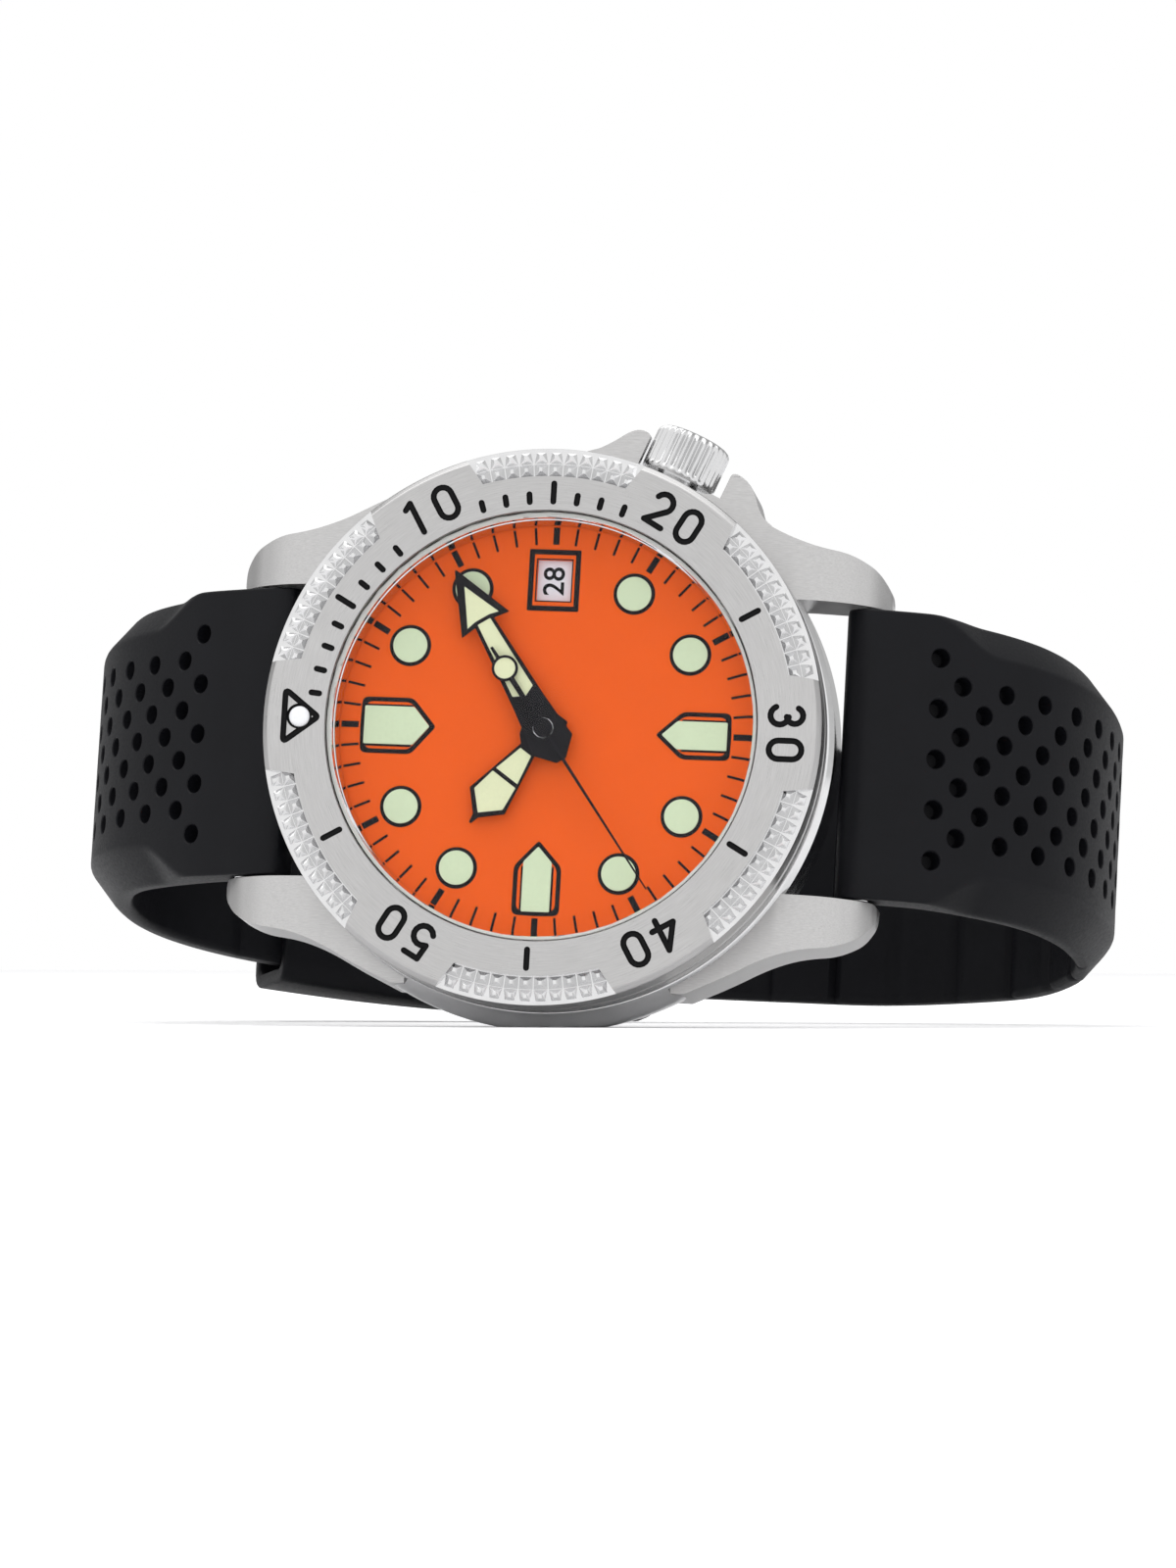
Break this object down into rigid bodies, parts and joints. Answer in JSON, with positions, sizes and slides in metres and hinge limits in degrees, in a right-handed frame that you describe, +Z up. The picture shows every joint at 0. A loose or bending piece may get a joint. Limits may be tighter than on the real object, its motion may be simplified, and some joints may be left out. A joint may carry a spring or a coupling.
{
  "type": "dive watch",
  "caption": "Self-winding dive watch with a turning steel bezel, orange dial with date, and a buckled rubber strap, lying on its side.",
  "frame": {"origin": "bottom centre of the bounding box, on the surface the watch lies on", "axes": "+X from 12 o'clock to 6 o'clock, +Y from the dial towards the rear of the strap loop, +Z up; the dial faces -Y, tipped up slightly"},
  "size_m": [0.0732, 0.0548, 0.0406],
  "materials": {
    "satin_steel": "satin brushed",
    "polished_steel": "polished",
    "black_steel": "black outline with pale lume fill",
    "crystal": "flat polished crystal",
    "orange_dial": "matt orange",
    "lume": "luminous paint",
    "white_print": "white with dark figures",
    "black_rubber": "matt moulded",
    "seal_rubber": "smooth",
    "nylon": "moulded",
    "brass": "gilt",
    "rhodium": "fine striped plating",
    "blued_spring": "blued"
  },
  "bodies": {
    "case": {"case_middle": "satin_steel", "crown_tube": "polished_steel", "caseback": "polished_steel", "caseback_gasket": "seal_rubber", "bezel_gasket": "seal_rubber", "bezel_click_spring": "polished_steel", "crystal": "crystal", "crystal_gasket": "nylon", "rehaut_ring": "polished_steel", "dial": "orange_dial", "movement_ring": "nylon", "main_plate": "rhodium", "barrel_bridge": "rhodium", "train_bridge": "rhodium", "pallet_bridge": "rhodium", "balance_cock": "rhodium", "mainspring": "blued_spring", "hairspring": "blued_spring", "date_jumper": "polished_steel", "setting_lever": "polished_steel", "rotor_bearing": "polished_steel", "spring_bar_12": "polished_steel", "spring_bar_6": "polished_steel", "strap_12": "black_rubber", "strap_6": "black_rubber", "buckle_spring_bar": "polished_steel", "keeper_fixed": "black_rubber"},
    "bezel": {"bezel": "satin_steel", "bezel_pip": "lume"},
    "seconds": {"fourth_wheel": "brass", "seconds_hand": "black_steel"},
    "minutes": {"centre_wheel": "brass", "cannon_pinion": "polished_steel", "minute_hand": "black_steel"},
    "hours": {"hour_wheel": "brass", "hour_hand": "black_steel"},
    "third": {"third_wheel": "brass"},
    "barrel": {"barrel": "brass", "barrel_cover": "brass"},
    "escape": {"escape_wheel": "polished_steel"},
    "minute_wheel": {"minute_wheel": "brass"},
    "date_drive": {"date_driving_wheel": "brass"},
    "date": {"date_disc": "white_print"},
    "crown_slider": {"crown_gasket": "seal_rubber"},
    "crown": {"crown": "polished_steel", "winding_stem": "polished_steel"},
    "sliding": {"sliding_pinion": "polished_steel"},
    "winding": {"winding_pinion": "polished_steel"},
    "ratchet": {"ratchet_wheel": "polished_steel", "barrel_arbor": "polished_steel"},
    "rotor": {"rotor": "rhodium", "rotor_screw": "blued_spring"},
    "balance": {"balance_wheel": "brass"},
    "pallet": {"pallet_fork": "polished_steel"},
    "buckle_frame": {"buckle_frame": "polished_steel"},
    "buckle_tongue": {"buckle_tongue": "polished_steel"},
    "keeper_free": {"keeper_free": "black_rubber"}
  },
  "joints": [
    {"name": "bezel_turn", "type": "hinge", "parent": "case", "child": "bezel", "pos_m": [-0.00098, -0.02237, 0.01979], "axis": [0.0048, -0.9912, 0.1325], "continuous": true},
    {"name": "seconds_turn", "type": "hinge", "parent": "case", "child": "seconds", "pos_m": [-0.00098, -0.02237, 0.01979], "axis": [0.0048, -0.9912, 0.1325], "continuous": true},
    {"name": "minute_turn", "type": "hinge", "parent": "case", "child": "minutes", "pos_m": [-0.00098, -0.02237, 0.01979], "axis": [0.0048, -0.9912, 0.1325], "continuous": true},
    {"name": "hour_turn", "type": "hinge", "parent": "case", "child": "hours", "pos_m": [-0.00098, -0.02237, 0.01979], "axis": [0.0048, -0.9912, 0.1325], "continuous": true},
    {"name": "third_turn", "type": "hinge", "parent": "case", "child": "third", "pos_m": [0.00262, -0.02237, 0.01966], "axis": [0.0048, -0.9912, 0.1325], "continuous": true},
    {"name": "barrel_turn", "type": "hinge", "parent": "case", "child": "barrel", "pos_m": [-0.00684, -0.02191, 0.02344], "axis": [0.0048, -0.9912, 0.1325], "continuous": true},
    {"name": "escape_turn", "type": "hinge", "parent": "case", "child": "escape", "pos_m": [0.0007, -0.02278, 0.01666], "axis": [0.0048, -0.9912, 0.1325], "continuous": true},
    {"name": "minute_wheel_turn", "type": "hinge", "parent": "case", "child": "minute_wheel", "pos_m": [-0.00108, -0.02275, 0.01694], "axis": [0.0048, -0.9912, 0.1325], "continuous": true},
    {"name": "date_wheel_turn", "type": "hinge", "parent": "case", "child": "date_drive", "pos_m": [-0.00682, -0.02191, 0.02342], "axis": [0.0048, -0.9912, 0.1325], "continuous": true},
    {"name": "date_turn", "type": "hinge", "parent": "case", "child": "date", "pos_m": [-0.00098, -0.02237, 0.01979], "axis": [0.0048, -0.9912, 0.1325], "continuous": true},
    {"name": "crown_pull", "type": "slide", "parent": "case", "child": "crown_slider", "axis": [0.4074, 0.1229, 0.9049], "range_m": [0, 0.0015]},
    {"name": "crown_turn", "type": "hinge", "parent": "crown_slider", "child": "crown", "pos_m": [0.00715, -0.01565, 0.03732], "axis": [0.4074, 0.1229, 0.9049], "continuous": true},
    {"name": "winding_pinion_turn", "type": "hinge", "parent": "case", "child": "winding", "pos_m": [0.00715, -0.01565, 0.03732], "axis": [0.4074, 0.1229, 0.9049], "continuous": true},
    {"name": "sliding_pinion_turn", "type": "hinge", "parent": "case", "child": "sliding", "pos_m": [0.00715, -0.01565, 0.03732], "axis": [0.4074, 0.1229, 0.9049], "continuous": true},
    {"name": "ratchet_turn", "type": "hinge", "parent": "case", "child": "ratchet", "pos_m": [-0.00684, -0.02191, 0.02344], "axis": [0.0048, -0.9912, 0.1325], "continuous": true},
    {"name": "rotor_turn", "type": "hinge", "parent": "case", "child": "rotor", "pos_m": [-0.00098, -0.02237, 0.01979], "axis": [0.0048, -0.9912, 0.1325], "continuous": true},
    {"name": "balance_swing", "type": "hinge", "parent": "case", "child": "balance", "pos_m": [0.00324, -0.0234, 0.01191], "axis": [0.0048, -0.9912, 0.1325], "range_deg": [-270, 270]},
    {"name": "pallet_rock", "type": "hinge", "parent": "case", "child": "pallet", "pos_m": [0.00184, -0.02306, 0.01454], "axis": [0.0048, -0.9912, 0.1325], "range_deg": [-3, 3]},
    {"name": "buckle_frame_turn", "type": "hinge", "parent": "case", "child": "buckle_frame", "pos_m": [-0.00878, 0.02057, 0.01145], "axis": [0.0356, 0.1326, 0.9905], "range_deg": [0, 20]},
    {"name": "buckle_tongue_turn", "type": "hinge", "parent": "buckle_frame", "child": "buckle_tongue", "pos_m": [-0.00878, 0.02057, 0.01145], "axis": [0.0356, 0.1326, 0.9905], "range_deg": [0, 40]},
    {"name": "keeper_free_slide", "type": "slide", "parent": "case", "child": "keeper_free", "axis": [0.9986, -0.0187, -0.0502], "range_m": [-0.0004, 0.0006]}
  ],
  "couplings": [
    {"joint": "minute_turn", "follows": "seconds_turn", "ratio": 0.016667},
    {"joint": "hour_turn", "follows": "seconds_turn", "ratio": 0.0013889},
    {"joint": "third_turn", "follows": "seconds_turn", "ratio": -0.13333},
    {"joint": "barrel_turn", "follows": "seconds_turn", "ratio": -0.0025641},
    {"joint": "escape_turn", "follows": "seconds_turn", "ratio": -12},
    {"joint": "minute_wheel_turn", "follows": "seconds_turn", "ratio": -0.0055556},
    {"joint": "date_wheel_turn", "follows": "seconds_turn", "ratio": -0.00069444},
    {"joint": "winding_pinion_turn", "follows": "crown_turn", "ratio": 1},
    {"joint": "sliding_pinion_turn", "follows": "crown_turn", "ratio": 1},
    {"joint": "ratchet_turn", "follows": "crown_turn", "ratio": 0.31111}
  ]
}
